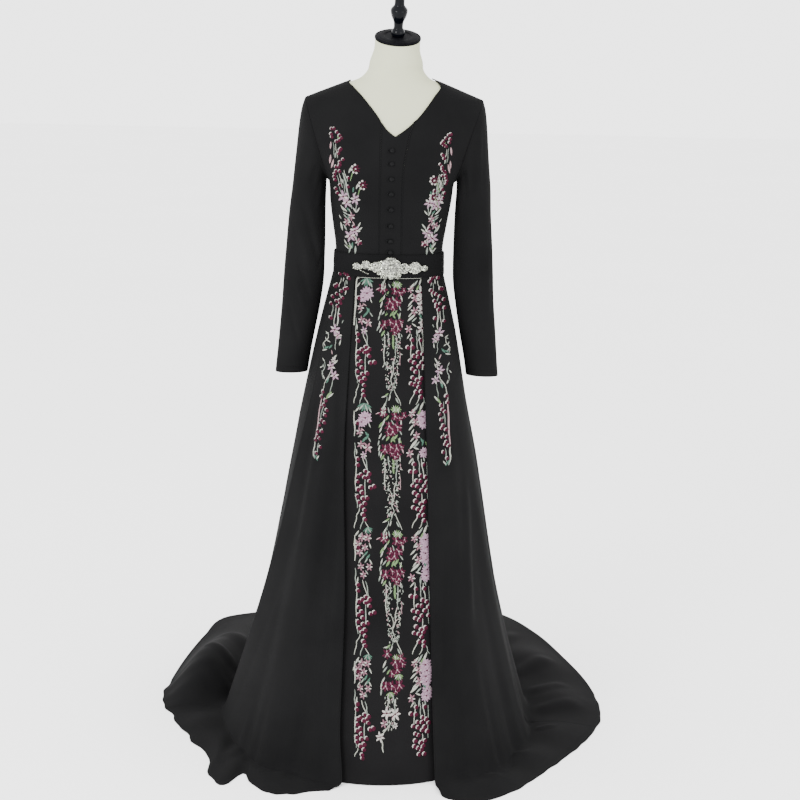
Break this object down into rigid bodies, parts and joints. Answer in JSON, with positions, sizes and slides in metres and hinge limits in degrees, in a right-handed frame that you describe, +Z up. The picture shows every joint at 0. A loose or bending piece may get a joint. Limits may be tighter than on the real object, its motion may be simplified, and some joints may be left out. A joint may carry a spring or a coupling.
{
  "type": "long-sleeved kaftan on a dress form",
  "caption": "Long black kaftan with an open overskirt, flowered inner panel, jewelled belt and a spread train, standing on a limbless dress form.",
  "frame": {"origin": "on the floor, at the centre of the underside of the form's round base", "axes": "+Z up, the front of the gown faces -Y, the train runs to +Y, +X is the right of the picture"},
  "size_m": [1.0329, 1.2922, 1.6249],
  "materials": {
    "gown_cloth": "matte crepe",
    "panel_cloth": "matte crepe with satin embroidery",
    "belt_cloth": "matte, folded band",
    "crystal_setting": "small cut stones in a silver setting",
    "button_thread": "corded ball",
    "form_cover": "plain stretched jersey",
    "cap_wood": "dark satin stain",
    "finial_lacquer": "black gloss lacquer",
    "stand_steel": "dark satin paint"
  },
  "bodies": {
    "root": {"bodice_front_left": "gown_cloth", "bodice_front_right": "gown_cloth", "bodice_back_left": "gown_cloth", "bodice_back_right": "gown_cloth", "bodice_placket": "gown_cloth", "sleeve_left": "gown_cloth", "sleeve_right": "gown_cloth", "overskirt_front_left": "gown_cloth", "overskirt_front_right": "gown_cloth", "overskirt_back_left": "gown_cloth", "overskirt_back_right": "gown_cloth", "inner_front_panel": "panel_cloth", "belt": "belt_cloth", "belt_ornament": "crystal_setting", "bodice_button_1": "button_thread", "bodice_button_2": "button_thread", "bodice_button_3": "button_thread", "bodice_button_4": "button_thread", "bodice_button_5": "button_thread", "bodice_button_6": "button_thread", "bodice_button_7": "button_thread", "bodice_button_8": "button_thread", "panel_button_1": "button_thread", "panel_button_2": "button_thread", "panel_button_3": "button_thread", "panel_button_4": "button_thread", "form_torso": "form_cover", "form_neck_cap": "cap_wood", "form_finial": "finial_lacquer", "form_stand": "stand_steel"}
  },
  "joints": []
}
